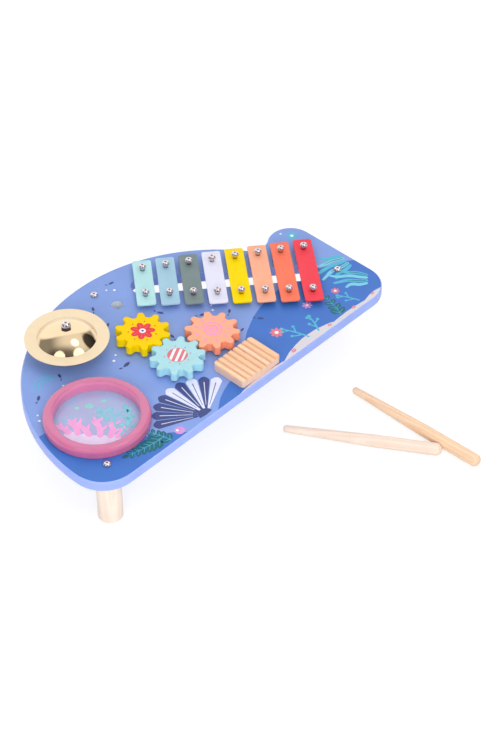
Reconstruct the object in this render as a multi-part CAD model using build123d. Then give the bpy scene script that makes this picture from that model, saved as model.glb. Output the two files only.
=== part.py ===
from build123d import *
import os
from math import atan2, cos, degrees, hypot, radians, sin, sqrt

# Musical activity table for a small child: a low board on three legs that carries a
# glockenspiel, a drum, a cymbal, three meshing gears and a ridged scraper, with two
# loose sticks on the floor in front of it. Millimetres, +Z up, floor at z = 0.
#
# Working frame: the straight front edge of the board is y = 0, and x = 0 passes
# through the centre of the board's big round arc. At the very end everything moves
# together, so that the origin is the middle of the floor that the set takes up.

# ---- fits ------------------------------------------------------------------------
SEAT_GAP = 0.1          # between a moving piece and the flat face that it rests on
RUNNING_PLAY = 0.08     # radial play of a shaft that turns in its bore
PILOT_PLAY = 0.05       # radial play of a screw or a glued peg in its hole
THROUGH_PLAY = 0.3      # radial play of a screw that only passes through
STICK_GAP = 0.4         # between the two sticks where they meet

# ---- board -----------------------------------------------------------------------
BOARD_THICKNESS = 12.0
BOARD_EDGE_ROUND = 1.6
DISC_RADIUS = 193.8     # the big round arc
DISC_CENTRE_Y = 41.9
RIGHT_REACH = 228.8     # from the arc's centre to the straight right side
LOBE_RADIUS = 25.3
LOBE_CENTRE_Y = 125.3
NOTCH_RADIUS = 21.0     # hollow between the big arc and the lobe
LEFT_CORNER_RADIUS = 37.0
RIGHT_CORNER_RADIUS = 33.0
STICK_HOLE_RADIUS = 6.25
STICK_HOLE_AT = (3.6, 186.6)

# ---- legs ------------------------------------------------------------------------
LEG_HEIGHT = 58.0
LEG_RADIUS = 12.5
LEG_CHAMFER = 1.2
BACK_LEG_INSET = 20.5       # leg axis to the arc
BACK_LEG_X = -2.5
LEFT_LEG_INSET = 30.3
LEFT_LEG_Y = 25.8
RIGHT_LEG_INSET = 25.5      # leg axis to the right side
RIGHT_LEG_Y = 58.1

# ---- screws ----------------------------------------------------------------------
RECESS_WIDTH = 0.8      # cross recess, the same driver fits every screw
RECESS_LENGTH = 3.2
RECESS_DEPTH = 1.1
SCREW_TIP = 0.8
LEG_SCREW_HEAD = (8.6, 2.8)     # diameter, height
LEG_SCREW_SHANK = 2.5
LEG_SCREW_BITE = 25.0
BAR_SCREW_HEAD = (8.0, 2.9)
BAR_SCREW_SHANK = 2.0
BAR_SCREW_BITE = 8.0
SMALL_SCREW_HEAD = (6.4, 2.2)   # the screws under the board
SMALL_SCREW_SHANK = 1.5
SMALL_SCREW_BITE = 6.0

# ---- chime bars ------------------------------------------------------------------
BAR_COUNT = 8
SHORTEST_BAR = 72.0
LONGEST_BAR = 100.0
BAR_WIDTH = 20.0
BAR_GAP = 4.8
BAR_THICKNESS = 2.0
BAR_CORNER = 2.6
BAR_EDGE_ROUND = 0.5
BAR_HOLE_PLAY = 0.5         # around the screw shank
BAR_SCREW_FROM_END = 15.3
BAR_LIFT = 4.0              # from the bar's top to the underside of the screw heads
BAR_SPACER_HEIGHT = 4.5
BAR_SPACER_RADIUS = 4.5
ROW_CENTRE = (109.9, 131.5)
ROW_ANGLE = -39.5           # the row's direction from +X; the bars lie across it
SLOT_OFFSET = 2.5           # slot centreline from the row's centreline
SLOT_SIDE_MARGIN = 0.7      # from the slot to the nearest spacer
SLOT_END_MARGIN = 4.2       # past the outer sides of the row

# ---- gears -----------------------------------------------------------------------
TEETH = 10
GEAR_TIP_RADIUS = 28.4
TOOTH_ENGAGEMENT = 5.4      # how far the tip circles overlap
ROOT_CLEARANCE = 1.3
TOOTH_TIP_WIDTH = 5.6
TOOTH_BASE_WIDTH = 9.0
TOOTH_TIP_ROUND = 2.7
TOOTH_ROOT_ROUND = 1.8
GEAR_THICKNESS = 10.0
GEAR_EDGE_ROUND = 0.7
GEAR_BORE_DEPTH = 7.0
GEAR_SPACER_THICKNESS = 2.0
GEAR_SPACER_RADIUS = 9.0
AXLE_RADIUS = 5.0
AXLE_END_PLAY = 0.4         # the axle stands this far out of the board
RETAINER_RADIUS = 9.0
RETAINER_THICKNESS = 1.2
MINT_GEAR_AT = (-16.9, 77.1)
YELLOW_GEAR_BEARING = 88.6      # from the mint gear
PEACH_GEAR_BEARING = 1.6
MINT_GEAR_PHASE = 1.2       # angle of one tooth from +X

# ---- cymbal ----------------------------------------------------------------------
CYMBAL_RADIUS = 43.1
CYMBAL_OVERHANG = 2.7       # past the board's arc
CYMBAL_BEARING = 120.3      # direction from the arc's centre
CYMBAL_METAL = 0.8
CYMBAL_FLANGE_HEIGHT = 15.0     # flange underside above the board
CYMBAL_DOME_RADIUS = 30.6
CYMBAL_DOME_HEIGHT = 13.4
CYMBAL_LAND_RADIUS = 6.5        # flat around the screw
CYMBAL_SCREW_SHANK = 3.0
CYMBAL_SCREW_HEAD = (10.2, 4.4)
SOFT_WASHER_THICKNESS = 2.0
SOFT_WASHER_RADIUS = 6.0
HEAD_WASHER_THICKNESS = 2.0
HEAD_WASHER_RADIUS = 4.6
POST_RADIUS = 9.0
NUT_WASHER_RADIUS = 7.0
NUT_WASHER_THICKNESS = 1.2
NUT_ACROSS_FLATS = 10.0
NUT_THICKNESS = 5.0
SCREW_PAST_NUT = 1.5

# ---- drum ------------------------------------------------------------------------
DRUM_RADIUS = 53.2
DRUM_RING_WIDTH = 10.7
DRUM_HEIGHT = 11.5
DRUM_OUTER_ROUND = 4.5
DRUM_INNER_ROUND = 3.5
DRUM_FOOT_ROUND = 1.2
DRUM_RIM_MARGIN = 7.4       # from the ring to the board's arc
DRUM_BEARING = 165.0
CUTOUT_STEP = 0.5           # the board's cut-out is larger than the ring's opening
FILM_THICKNESS = 0.4
FILM_LAP = 3.0              # how far the film laps over the board
FILM_SIDE_GAP = 0.5
DRUM_SCREW_COUNT = 4
DRUM_SCREW_INSET = 3.3      # from the ring's outer side
DRUM_SCREW_START = 10.0

# ---- scraper ---------------------------------------------------------------------
SCRAPER_LENGTH = 55.0
SCRAPER_WIDTH = 41.6
SCRAPER_HEIGHT = 9.3
SCRAPER_CORNER = 3.6
SCRAPER_EDGE_ROUND = 0.9
SCRAPER_RIDGES = 8
SCRAPER_GROOVE_WIDTH = 3.0
SCRAPER_GROOVE_DEPTH = 4.2
SCRAPER_RIDGE_ROUND = 1.6
SCRAPER_FRONT_MARGIN = 4.1
SCRAPER_X = 29.1
SCRAPER_SCREW_SPACING = 34.0

# ---- sticks ----------------------------------------------------------------------
STICK_LENGTH = 162.0
STICK_RADIUS = 6.5
STICK_TIP_RADIUS = 3.6
STICK_TAPER = 92.0
STICK_TIP_ROUND = 3.0
STICK_END_ROUND = 5.8
STICK_2_TIP_AT = (128.3, -33.2)
STICK_2_ANGLE = -87.8
STICK_1_ANGLE = -57.6
STICKS_MEET_AT = 123.0      # along stick 2, from its tip

# ---- levels and places that follow from the sizes above ---------------------------
BOARD_BOTTOM = LEG_HEIGHT
BOARD_TOP = BOARD_BOTTOM + BOARD_THICKNESS
BAR_BOTTOM = BOARD_TOP + BAR_SPACER_HEIGHT + SEAT_GAP
BAR_TOP = BAR_BOTTOM + BAR_THICKNESS
BAR_HEAD_SEAT = BAR_TOP + BAR_LIFT
GEAR_BOTTOM = BOARD_TOP + GEAR_SPACER_THICKNESS + SEAT_GAP
GEAR_DISTANCE = 2 * GEAR_TIP_RADIUS - TOOTH_ENGAGEMENT
GEAR_ROOT_RADIUS = GEAR_DISTANCE - GEAR_TIP_RADIUS - ROOT_CLEARANCE
DRUM_OPENING_RADIUS = DRUM_RADIUS - DRUM_RING_WIDTH
DRUM_SCREW_CIRCLE = DRUM_RADIUS - DRUM_SCREW_INSET
FILM_RADIUS = DRUM_OPENING_RADIUS + CUTOUT_STEP + FILM_LAP
BAR_PITCH = BAR_WIDTH + BAR_GAP
DISC_CENTRE = (0.0, DISC_CENTRE_Y)


def from_point(start, distance, angle):
    """The point at a distance and an angle from a start point."""
    return (start[0] + distance * cos(radians(angle)), start[1] + distance * sin(radians(angle)))


def bearing(start, end):
    """The direction from one point to another, in degrees from +X."""
    return degrees(atan2(end[1] - start[1], end[0] - start[0]))


def upper_meeting_point(centre_a, reach_a, centre_b, reach_b):
    """The left-hand crossing of two circles, seen from the first centre to the second."""
    apart = hypot(centre_b[0] - centre_a[0], centre_b[1] - centre_a[1])
    along = (reach_a**2 - reach_b**2 + apart**2) / (2 * apart)
    aside = sqrt(reach_a**2 - along**2)
    foot = from_point(centre_a, along, bearing(centre_a, centre_b))
    return from_point(foot, aside, bearing(centre_a, centre_b) + 90)


def arc(centre, radius, start_angle, end_angle):
    """A circular arc between two angles."""
    middle = (start_angle + end_angle) / 2
    return ThreePointArc(*(from_point(centre, radius, a) for a in (start_angle, middle, end_angle)))


def at(place, height):
    """A location above a point of the plan."""
    return Pos(place[0], place[1], height)


def hole(place, radius, bottom, top):
    """A round cutter between two heights."""
    return at(place, bottom) * Cylinder(radius, top - bottom, align=(Align.CENTER, Align.CENTER, Align.MIN))


def washer(radius, bore, thickness):
    """A flat ring that stands on z = 0."""
    return hole((0, 0), radius, 0, thickness) - hole((0, 0), bore, 0, thickness)


def round_head_screw(head, shank_radius, length):
    """A round head that stands on z = 0, with its shank below."""
    diameter, height = head
    dome = hole((0, 0), diameter / 2, 0, height)
    dome = fillet(dome.edges().group_by(Axis.Z)[-1], height * 0.85)
    for arm_angle in (0, 90):
        arm = Box(RECESS_LENGTH, RECESS_WIDTH, 2 * RECESS_DEPTH)
        dome -= Pos(0, 0, height) * Rot(0, 0, arm_angle) * arm
    shank = hole((0, 0), shank_radius, -length, 0)
    shank = chamfer(shank.edges().group_by(Axis.Z)[0], SCREW_TIP)
    return dome + shank


# ---- places ----------------------------------------------------------------------
def leg_places():
    """Leg axes: left front, right front and back."""
    back_reach = DISC_RADIUS - BACK_LEG_INSET
    back_y = DISC_CENTRE_Y + sqrt(back_reach**2 - BACK_LEG_X**2)
    return {
        "left": (LEFT_LEG_INSET - DISC_RADIUS, LEFT_LEG_Y),
        "right": (RIGHT_REACH - RIGHT_LEG_INSET, RIGHT_LEG_Y),
        "back": (BACK_LEG_X, back_y),
    }


def bar_length(number):
    """Bars grow evenly from the first to the last."""
    return SHORTEST_BAR + (LONGEST_BAR - SHORTEST_BAR) * number / (BAR_COUNT - 1)


def bar_place(number):
    """The middle of a bar."""
    return from_point(ROW_CENTRE, (number - (BAR_COUNT - 1) / 2) * BAR_PITCH, ROW_ANGLE)


def bar_screw_reach(number):
    """From the middle of a bar to each of its two screws."""
    return bar_length(number) / 2 - BAR_SCREW_FROM_END


def bar_screw_places():
    """Both screws of every bar."""
    places = []
    for number in range(BAR_COUNT):
        for side in (90, -90):
            places.append(from_point(bar_place(number), bar_screw_reach(number), ROW_ANGLE + side))
    return places


def gear_places():
    """Gear centres: the yellow gear is behind the mint one, and the peach gear is to its right."""
    return {
        "mint": MINT_GEAR_AT,
        "yellow": from_point(MINT_GEAR_AT, GEAR_DISTANCE, YELLOW_GEAR_BEARING),
        "peach": from_point(MINT_GEAR_AT, GEAR_DISTANCE, PEACH_GEAR_BEARING),
    }


def gear_phase(colour):
    """The angle of one tooth, so that the outer gears mesh with the mint one."""
    if colour == "mint":
        return MINT_GEAR_PHASE
    towards = bearing(MINT_GEAR_AT, gear_places()[colour])
    return 2 * towards + 180 + 180 / TEETH - MINT_GEAR_PHASE


def cymbal_place():
    reach = DISC_RADIUS + CYMBAL_OVERHANG - CYMBAL_RADIUS
    return from_point(DISC_CENTRE, reach, CYMBAL_BEARING)


def drum_place():
    reach = DISC_RADIUS - DRUM_RIM_MARGIN - DRUM_RADIUS
    return from_point(DISC_CENTRE, reach, DRUM_BEARING)


def drum_screw_places():
    step = 360 / DRUM_SCREW_COUNT
    angles = [DRUM_SCREW_START + step * turn for turn in range(DRUM_SCREW_COUNT)]
    return [from_point(drum_place(), DRUM_SCREW_CIRCLE, angle) for angle in angles]


def scraper_place():
    return (SCRAPER_X, SCRAPER_FRONT_MARGIN + SCRAPER_WIDTH / 2)


def scraper_screw_places():
    x, y = scraper_place()
    return [(x - SCRAPER_SCREW_SPACING / 2, y), (x + SCRAPER_SCREW_SPACING / 2, y)]


# ---- board -----------------------------------------------------------------------
def board_outline():
    """The big arc, the notch, the lobe and the straight front and right sides."""
    left_corner_drop = LEFT_CORNER_RADIUS - DISC_CENTRE_Y
    left_corner_reach = DISC_RADIUS - LEFT_CORNER_RADIUS
    left_corner = (-sqrt(left_corner_reach**2 - left_corner_drop**2), LEFT_CORNER_RADIUS)
    right_corner = (RIGHT_REACH - RIGHT_CORNER_RADIUS, RIGHT_CORNER_RADIUS)
    lobe = (RIGHT_REACH - LOBE_RADIUS, LOBE_CENTRE_Y)
    notch = upper_meeting_point(
        DISC_CENTRE, DISC_RADIUS + NOTCH_RADIUS, lobe, LOBE_RADIUS + NOTCH_RADIUS
    )
    lobe_end = bearing(lobe, notch)
    arc_start = bearing(DISC_CENTRE, notch)
    arc_end = 360 + bearing(DISC_CENTRE, left_corner)
    edges = [
        Line((left_corner[0], 0), (right_corner[0], 0)),
        arc(right_corner, RIGHT_CORNER_RADIUS, -90, 0),
        Line((RIGHT_REACH, right_corner[1]), (RIGHT_REACH, lobe[1])),
        arc(lobe, LOBE_RADIUS, 0, lobe_end),
        arc(notch, NOTCH_RADIUS, lobe_end - 180, arc_start - 180),
        arc(DISC_CENTRE, DISC_RADIUS, arc_start, arc_end),
        arc(left_corner, LEFT_CORNER_RADIUS, arc_end, 270),
    ]
    return make_face(edges)


def slot_cutter():
    """The long slot that lets the bars sound, as wide as the nearest spacers allow."""
    half_width = bar_screw_reach(0) - BAR_SPACER_RADIUS - SLOT_SIDE_MARGIN - SLOT_OFFSET
    row_length = (BAR_COUNT - 1) * BAR_PITCH + BAR_WIDTH
    slot = SlotOverall(row_length + 2 * SLOT_END_MARGIN, 2 * half_width)
    centre = from_point(ROW_CENTRE, SLOT_OFFSET, ROW_ANGLE + 90)
    return at(centre, BOARD_BOTTOM) * Rot(0, 0, ROW_ANGLE) * extrude(slot, BOARD_THICKNESS)


def board():
    plate = Pos(0, 0, BOARD_BOTTOM) * extrude(board_outline(), BOARD_THICKNESS)
    rims = plate.edges().group_by(Axis.Z)
    plate = fillet(rims[0] + rims[-1], BOARD_EDGE_ROUND)
    cutters = [slot_cutter(), board_hole(STICK_HOLE_AT, STICK_HOLE_RADIUS)]
    cutters.append(board_hole(drum_place(), DRUM_OPENING_RADIUS + CUTOUT_STEP))
    cutters.append(board_hole(cymbal_place(), CYMBAL_SCREW_SHANK + THROUGH_PLAY))
    for place in leg_places().values():
        cutters.append(board_hole(place, LEG_SCREW_SHANK + THROUGH_PLAY))
    for place in gear_places().values():
        cutters.append(board_hole(place, AXLE_RADIUS + RUNNING_PLAY))
    for place in drum_screw_places() + scraper_screw_places():
        cutters.append(board_hole(place, SMALL_SCREW_SHANK + THROUGH_PLAY))
    for place in bar_screw_places():
        pilot_bottom = BOARD_TOP - BAR_SCREW_BITE - THROUGH_PLAY
        cutters.append(hole(place, BAR_SCREW_SHANK + PILOT_PLAY, pilot_bottom, BOARD_TOP))
    return plate - cutters


def board_hole(place, radius):
    return hole(place, radius, BOARD_BOTTOM, BOARD_TOP)


# ---- legs ------------------------------------------------------------------------
def leg(place):
    post = hole(place, LEG_RADIUS, 0, LEG_HEIGHT)
    post = chamfer(post.edges().group_by(Axis.Z)[0], LEG_CHAMFER)
    pilot_bottom = LEG_HEIGHT - LEG_SCREW_BITE - THROUGH_PLAY
    return post - hole(place, LEG_SCREW_SHANK + PILOT_PLAY, pilot_bottom, LEG_HEIGHT)


def leg_screws():
    screw = round_head_screw(LEG_SCREW_HEAD, LEG_SCREW_SHANK, BOARD_THICKNESS + LEG_SCREW_BITE)
    return [at(place, BOARD_TOP) * screw for place in leg_places().values()]


# ---- chime bars ------------------------------------------------------------------
def chime_bar(number):
    length = bar_length(number)
    plate = extrude(RectangleRounded(length, BAR_WIDTH, BAR_CORNER), BAR_THICKNESS)
    rims = plate.edges().group_by(Axis.Z)
    plate = fillet(rims[0] + rims[-1], BAR_EDGE_ROUND)
    for side in (-1, 1):
        place = (side * bar_screw_reach(number), 0)
        plate -= hole(place, BAR_SCREW_SHANK + BAR_HOLE_PLAY, 0, BAR_THICKNESS)
    return at(bar_place(number), BAR_BOTTOM) * Rot(0, 0, ROW_ANGLE + 90) * plate


def bar_screws():
    length = BAR_HEAD_SEAT - BOARD_TOP + BAR_SCREW_BITE
    screw = round_head_screw(BAR_SCREW_HEAD, BAR_SCREW_SHANK, length)
    turned = Rot(0, 0, ROW_ANGLE) * screw
    return [at(place, BAR_HEAD_SEAT) * turned for place in bar_screw_places()]


def bar_spacers():
    spacer = washer(BAR_SPACER_RADIUS, BAR_SCREW_SHANK + PILOT_PLAY, BAR_SPACER_HEIGHT)
    return [at(place, BOARD_TOP) * spacer for place in bar_screw_places()]


# ---- gears -----------------------------------------------------------------------
def gear_face():
    """Ten straight-sided teeth with rounded tips and roots."""
    flank_slope = (TOOTH_BASE_WIDTH - TOOTH_TIP_WIDTH) / (GEAR_TIP_RADIUS - GEAR_ROOT_RADIUS)
    width_at_centre = TOOTH_BASE_WIDTH + flank_slope * GEAR_ROOT_RADIUS
    tooth = Polygon(
        (0, -width_at_centre / 2),
        (GEAR_TIP_RADIUS, -TOOTH_TIP_WIDTH / 2),
        (GEAR_TIP_RADIUS, TOOTH_TIP_WIDTH / 2),
        (0, width_at_centre / 2),
    )
    face = Circle(GEAR_ROOT_RADIUS) + [loc * tooth for loc in PolarLocations(0, TEETH)]
    tips = [v for v in face.vertices() if hypot(v.X, v.Y) > GEAR_TIP_RADIUS - SEAT_GAP]
    face = fillet(tips, TOOTH_TIP_ROUND)
    roots = [v for v in face.vertices() if hypot(v.X, v.Y) < GEAR_ROOT_RADIUS + SEAT_GAP]
    return fillet(roots, TOOTH_ROOT_ROUND)


def gear(colour):
    wheel = extrude(gear_face(), GEAR_THICKNESS)
    rims = wheel.edges().group_by(Axis.Z)
    wheel = fillet(rims[0] + rims[-1], GEAR_EDGE_ROUND)
    wheel -= hole((0, 0), AXLE_RADIUS + PILOT_PLAY, 0, GEAR_BORE_DEPTH)
    return at(gear_places()[colour], GEAR_BOTTOM) * Rot(0, 0, gear_phase(colour)) * wheel


def gear_axle(colour):
    """A peg glued into the gear, which turns in the board."""
    bottom = BOARD_BOTTOM - AXLE_END_PLAY
    top = GEAR_BOTTOM + GEAR_BORE_DEPTH - PILOT_PLAY
    place = gear_places()[colour]
    pilot_top = bottom + SMALL_SCREW_BITE + THROUGH_PLAY
    return hole(place, AXLE_RADIUS, bottom, top) - hole(place, small_pilot(), bottom, pilot_top)


def small_pilot():
    return SMALL_SCREW_SHANK + PILOT_PLAY


def gear_retainer(colour):
    disc = washer(RETAINER_RADIUS, small_pilot(), RETAINER_THICKNESS)
    return at(gear_places()[colour], BOARD_BOTTOM - AXLE_END_PLAY - RETAINER_THICKNESS) * disc


def screw_from_below(place, seat, length):
    """A small screw that points up, with its head's flat side at the given height."""
    screw = round_head_screw(SMALL_SCREW_HEAD, SMALL_SCREW_SHANK, length)
    return at(place, seat) * Rot(180, 0, 0) * screw


def gear_screw(colour):
    seat = BOARD_BOTTOM - AXLE_END_PLAY - RETAINER_THICKNESS
    return screw_from_below(gear_places()[colour], seat, RETAINER_THICKNESS + SMALL_SCREW_BITE)


def gear_spacers():
    spacer = washer(GEAR_SPACER_RADIUS, AXLE_RADIUS + THROUGH_PLAY, GEAR_SPACER_THICKNESS)
    return [at(place, BOARD_TOP) * spacer for place in gear_places().values()]


# ---- cymbal ----------------------------------------------------------------------
def dome_rise(radius):
    """Height of the spherical dome above the flange, at a distance from its axis."""
    ball_radius = (CYMBAL_DOME_RADIUS**2 + CYMBAL_DOME_HEIGHT**2) / (2 * CYMBAL_DOME_HEIGHT)
    return sqrt(ball_radius**2 - radius**2) - ball_radius + CYMBAL_DOME_HEIGHT


def cymbal_skin(height):
    """One side of the sheet in section: the land, the dome and the flange."""
    land_height = height + dome_rise(CYMBAL_LAND_RADIUS)
    middle_radius = (CYMBAL_LAND_RADIUS + CYMBAL_DOME_RADIUS) / 2
    land_end = (CYMBAL_LAND_RADIUS, 0, land_height)
    dome_foot = (CYMBAL_DOME_RADIUS, 0, height)
    return [
        Line((CYMBAL_SCREW_SHANK + RUNNING_PLAY, 0, land_height), land_end),
        ThreePointArc(land_end, (middle_radius, 0, height + dome_rise(middle_radius)), dome_foot),
        Line(dome_foot, (CYMBAL_RADIUS, 0, height)),
    ]


def cymbal():
    """Spun sheet: a flat land around the screw, a spherical dome and a flat flange."""
    upper = cymbal_skin(CYMBAL_METAL)
    lower = cymbal_skin(0)
    closing = [Line(upper[0] @ 0, lower[0] @ 0), Line(upper[-1] @ 1, lower[-1] @ 1)]
    sheet = revolve(make_face(upper + lower + closing), Axis.Z)
    return at(cymbal_place(), BOARD_TOP + CYMBAL_FLANGE_HEIGHT) * sheet


def cymbal_land_height():
    """The underside of the metal around the screw."""
    return BOARD_TOP + CYMBAL_FLANGE_HEIGHT + dome_rise(CYMBAL_LAND_RADIUS)


def cymbal_post():
    """A wooden tube from the board up to the soft washer."""
    top = cymbal_land_height() - SEAT_GAP - SOFT_WASHER_THICKNESS
    bore = CYMBAL_SCREW_SHANK + THROUGH_PLAY
    return at(cymbal_place(), BOARD_TOP) * washer(POST_RADIUS, bore, top - BOARD_TOP)


def cymbal_soft_washer():
    disc = washer(SOFT_WASHER_RADIUS, CYMBAL_SCREW_SHANK + PILOT_PLAY, SOFT_WASHER_THICKNESS)
    return at(cymbal_place(), cymbal_land_height() - SEAT_GAP - SOFT_WASHER_THICKNESS) * disc


def head_washer_bottom():
    return cymbal_land_height() + CYMBAL_METAL + SEAT_GAP


def cymbal_head_washer():
    disc = washer(HEAD_WASHER_RADIUS, CYMBAL_SCREW_SHANK + PILOT_PLAY, HEAD_WASHER_THICKNESS)
    return at(cymbal_place(), head_washer_bottom()) * disc


def cymbal_screw():
    seat = head_washer_bottom() + HEAD_WASHER_THICKNESS
    end = BOARD_BOTTOM - NUT_WASHER_THICKNESS - NUT_THICKNESS - SCREW_PAST_NUT
    screw = round_head_screw(CYMBAL_SCREW_HEAD, CYMBAL_SCREW_SHANK, seat - end)
    return at(cymbal_place(), seat) * screw


def cymbal_nut_washer():
    disc = washer(NUT_WASHER_RADIUS, CYMBAL_SCREW_SHANK + PILOT_PLAY, NUT_WASHER_THICKNESS)
    return at(cymbal_place(), BOARD_BOTTOM - NUT_WASHER_THICKNESS) * disc


def cymbal_nut():
    corner_radius = NUT_ACROSS_FLATS / 2 / cos(radians(30))
    block = extrude(RegularPolygon(corner_radius, 6), NUT_THICKNESS)
    block -= hole((0, 0), CYMBAL_SCREW_SHANK + PILOT_PLAY, 0, NUT_THICKNESS)
    return at(cymbal_place(), BOARD_BOTTOM - NUT_WASHER_THICKNESS - NUT_THICKNESS) * block


# ---- drum ------------------------------------------------------------------------
def drum_ring():
    """A turned ring with a shallow recess below for the film."""
    ring = washer(DRUM_RADIUS, DRUM_OPENING_RADIUS, DRUM_HEIGHT)
    inner_top, outer_top = ring.edges().group_by(Axis.Z)[-1].sort_by(SortBy.LENGTH)
    ring = fillet(outer_top, DRUM_OUTER_ROUND)
    inner_top = ring.edges().group_by(Axis.Z)[-1].sort_by(SortBy.LENGTH)[0]
    ring = fillet(inner_top, DRUM_INNER_ROUND)
    foot = ring.edges().group_by(Axis.Z)[0].sort_by(SortBy.LENGTH)[-1]
    ring = fillet(foot, DRUM_FOOT_ROUND)
    ring -= hole((0, 0), FILM_RADIUS + FILM_SIDE_GAP, 0, FILM_THICKNESS + PILOT_PLAY)
    ring = at(drum_place(), BOARD_TOP) * ring
    for place in drum_screw_places():
        ring -= hole(place, small_pilot(), BOARD_TOP, BOARD_TOP + SMALL_SCREW_BITE + THROUGH_PLAY)
    return ring


def drum_film():
    return hole(drum_place(), FILM_RADIUS, BOARD_TOP, BOARD_TOP + FILM_THICKNESS)


def drum_screws():
    length = BOARD_THICKNESS + SMALL_SCREW_BITE
    return [screw_from_below(place, BOARD_BOTTOM, length) for place in drum_screw_places()]


# ---- scraper ---------------------------------------------------------------------
def scraper_profile():
    """The block's end: V grooves between ridges with rounded tops."""
    pitch = SCRAPER_LENGTH / SCRAPER_RIDGES
    half_groove = SCRAPER_GROOVE_WIDTH / 2
    profile = Polygon(
        (-SCRAPER_LENGTH / 2, 0),
        (SCRAPER_LENGTH / 2, 0),
        (SCRAPER_LENGTH / 2, SCRAPER_HEIGHT),
        (-SCRAPER_LENGTH / 2, SCRAPER_HEIGHT),
    )
    for number in range(1, SCRAPER_RIDGES):
        x = number * pitch - SCRAPER_LENGTH / 2
        profile -= Polygon(
            (x - half_groove, SCRAPER_HEIGHT),
            (x, SCRAPER_HEIGHT - SCRAPER_GROOVE_DEPTH),
            (x + half_groove, SCRAPER_HEIGHT),
        )
    return fillet(profile.vertices().group_by(Axis.Y)[-1], SCRAPER_RIDGE_ROUND)


def scraper():
    """A block with evenly spaced grooves across its top."""
    block = extrude(RectangleRounded(SCRAPER_LENGTH, SCRAPER_WIDTH, SCRAPER_CORNER), SCRAPER_HEIGHT)
    block = fillet(block.edges().group_by(Axis.Z)[-1], SCRAPER_EDGE_ROUND)
    block &= extrude(Plane.XZ * scraper_profile(), SCRAPER_WIDTH / 2, both=True)
    block = at(scraper_place(), BOARD_TOP) * block
    for place in scraper_screw_places():
        block -= hole(place, small_pilot(), BOARD_TOP, BOARD_TOP + SMALL_SCREW_BITE + THROUGH_PLAY)
    return block


def scraper_screws():
    length = BOARD_THICKNESS + SMALL_SCREW_BITE
    return [screw_from_below(place, BOARD_BOTTOM, length) for place in scraper_screw_places()]


# ---- sticks ----------------------------------------------------------------------
def stick(tip, angle):
    """A turned stick that lies on its thick half, with its thin tip at the given point."""
    outline = Polygon(
        (0, 0),
        (STICK_LENGTH, 0),
        (STICK_LENGTH, STICK_RADIUS),
        (STICK_TAPER, STICK_RADIUS),
        (0, STICK_TIP_RADIUS),
    )
    body = revolve(outline, Axis.X)
    rims = body.edges().filter_by(GeomType.CIRCLE).group_by(Axis.X)
    body = fillet(rims[0], STICK_TIP_ROUND)
    end_rim = body.edges().filter_by(GeomType.CIRCLE).group_by(Axis.X)[-1]
    body = fillet(end_rim, STICK_END_ROUND)
    return at(tip, STICK_RADIUS) * Rot(0, 0, angle) * body


def stick_1_tip():
    """Stick 1's thick end lies against the side of stick 2."""
    crossing = radians(STICK_1_ANGLE - STICK_2_ANGLE)
    corner = STICK_RADIUS - STICK_END_ROUND
    aside = STICK_RADIUS + STICK_GAP + STICK_END_ROUND
    aside += corner * cos(crossing) - STICK_END_ROUND * sin(crossing)
    beside = from_point(STICK_2_TIP_AT, STICKS_MEET_AT, STICK_2_ANGLE)
    end = from_point(beside, aside, STICK_2_ANGLE - 90)
    return from_point(end, -STICK_LENGTH, STICK_1_ANGLE)


# ---- the whole set ----------------------------------------------------------------
def make_nodes():
    """Every sub-part by name, in the working frame."""
    nodes = {"board": board()}
    for side, place in leg_places().items():
        nodes[f"leg_{side}"] = leg(place)
    nodes["leg_screws"] = leg_screws()
    for number in range(BAR_COUNT):
        nodes[f"chime_bar_{number + 1}"] = chime_bar(number)
    nodes["bar_screws"] = bar_screws()
    nodes["bar_spacers"] = bar_spacers()
    for colour in gear_places():
        nodes[f"{colour}_gear"] = gear(colour)
        nodes[f"{colour}_gear_axle"] = gear_axle(colour)
        nodes[f"{colour}_gear_retainer"] = gear_retainer(colour)
        nodes[f"{colour}_gear_screw"] = gear_screw(colour)
    nodes["gear_spacers"] = gear_spacers()
    nodes["cymbal"] = cymbal()
    nodes["cymbal_post"] = cymbal_post()
    nodes["cymbal_soft_washer"] = cymbal_soft_washer()
    nodes["cymbal_head_washer"] = cymbal_head_washer()
    nodes["cymbal_screw"] = cymbal_screw()
    nodes["cymbal_nut_washer"] = cymbal_nut_washer()
    nodes["cymbal_nut"] = cymbal_nut()
    nodes["drum_ring"] = drum_ring()
    nodes["drum_film"] = drum_film()
    nodes["drum_screws"] = drum_screws()
    nodes["scraper"] = scraper()
    nodes["scraper_screws"] = scraper_screws()
    nodes["stick_1"] = stick(stick_1_tip(), STICK_1_ANGLE)
    nodes["stick_2"] = stick(STICK_2_TIP_AT, STICK_2_ANGLE)
    return {name: grouped(name, shape) for name, shape in nodes.items()}


def grouped(name, shape):
    """One compound for a group of equal pieces, and a single piece as it is."""
    if isinstance(shape, list):
        shape = Compound([solid for piece in shape for solid in piece.solids()])
    shape.label = name
    return shape


def floor_middle(nodes):
    """The middle of the floor area under the whole set."""
    box = Compound([solid for shape in nodes.values() for solid in shape.solids()]).bounding_box()
    return Vector((box.min.X + box.max.X) / 2, (box.min.Y + box.max.Y) / 2, box.min.Z)


def write_parts():
    os.makedirs("parts", exist_ok=True)
    nodes = make_nodes()
    middle = floor_middle(nodes)
    for name, shape in nodes.items():
        export_step(shape.moved(Location(-middle)), f"parts/{name}.step")
    print(f"{len(nodes)} sub-parts, origin at x {middle.X:.2f} y {middle.Y:.2f} of the working frame")


write_parts()
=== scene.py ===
import math

import bmesh
import bpy
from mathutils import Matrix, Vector
from mathutils.geometry import tessellate_polygon


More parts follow.
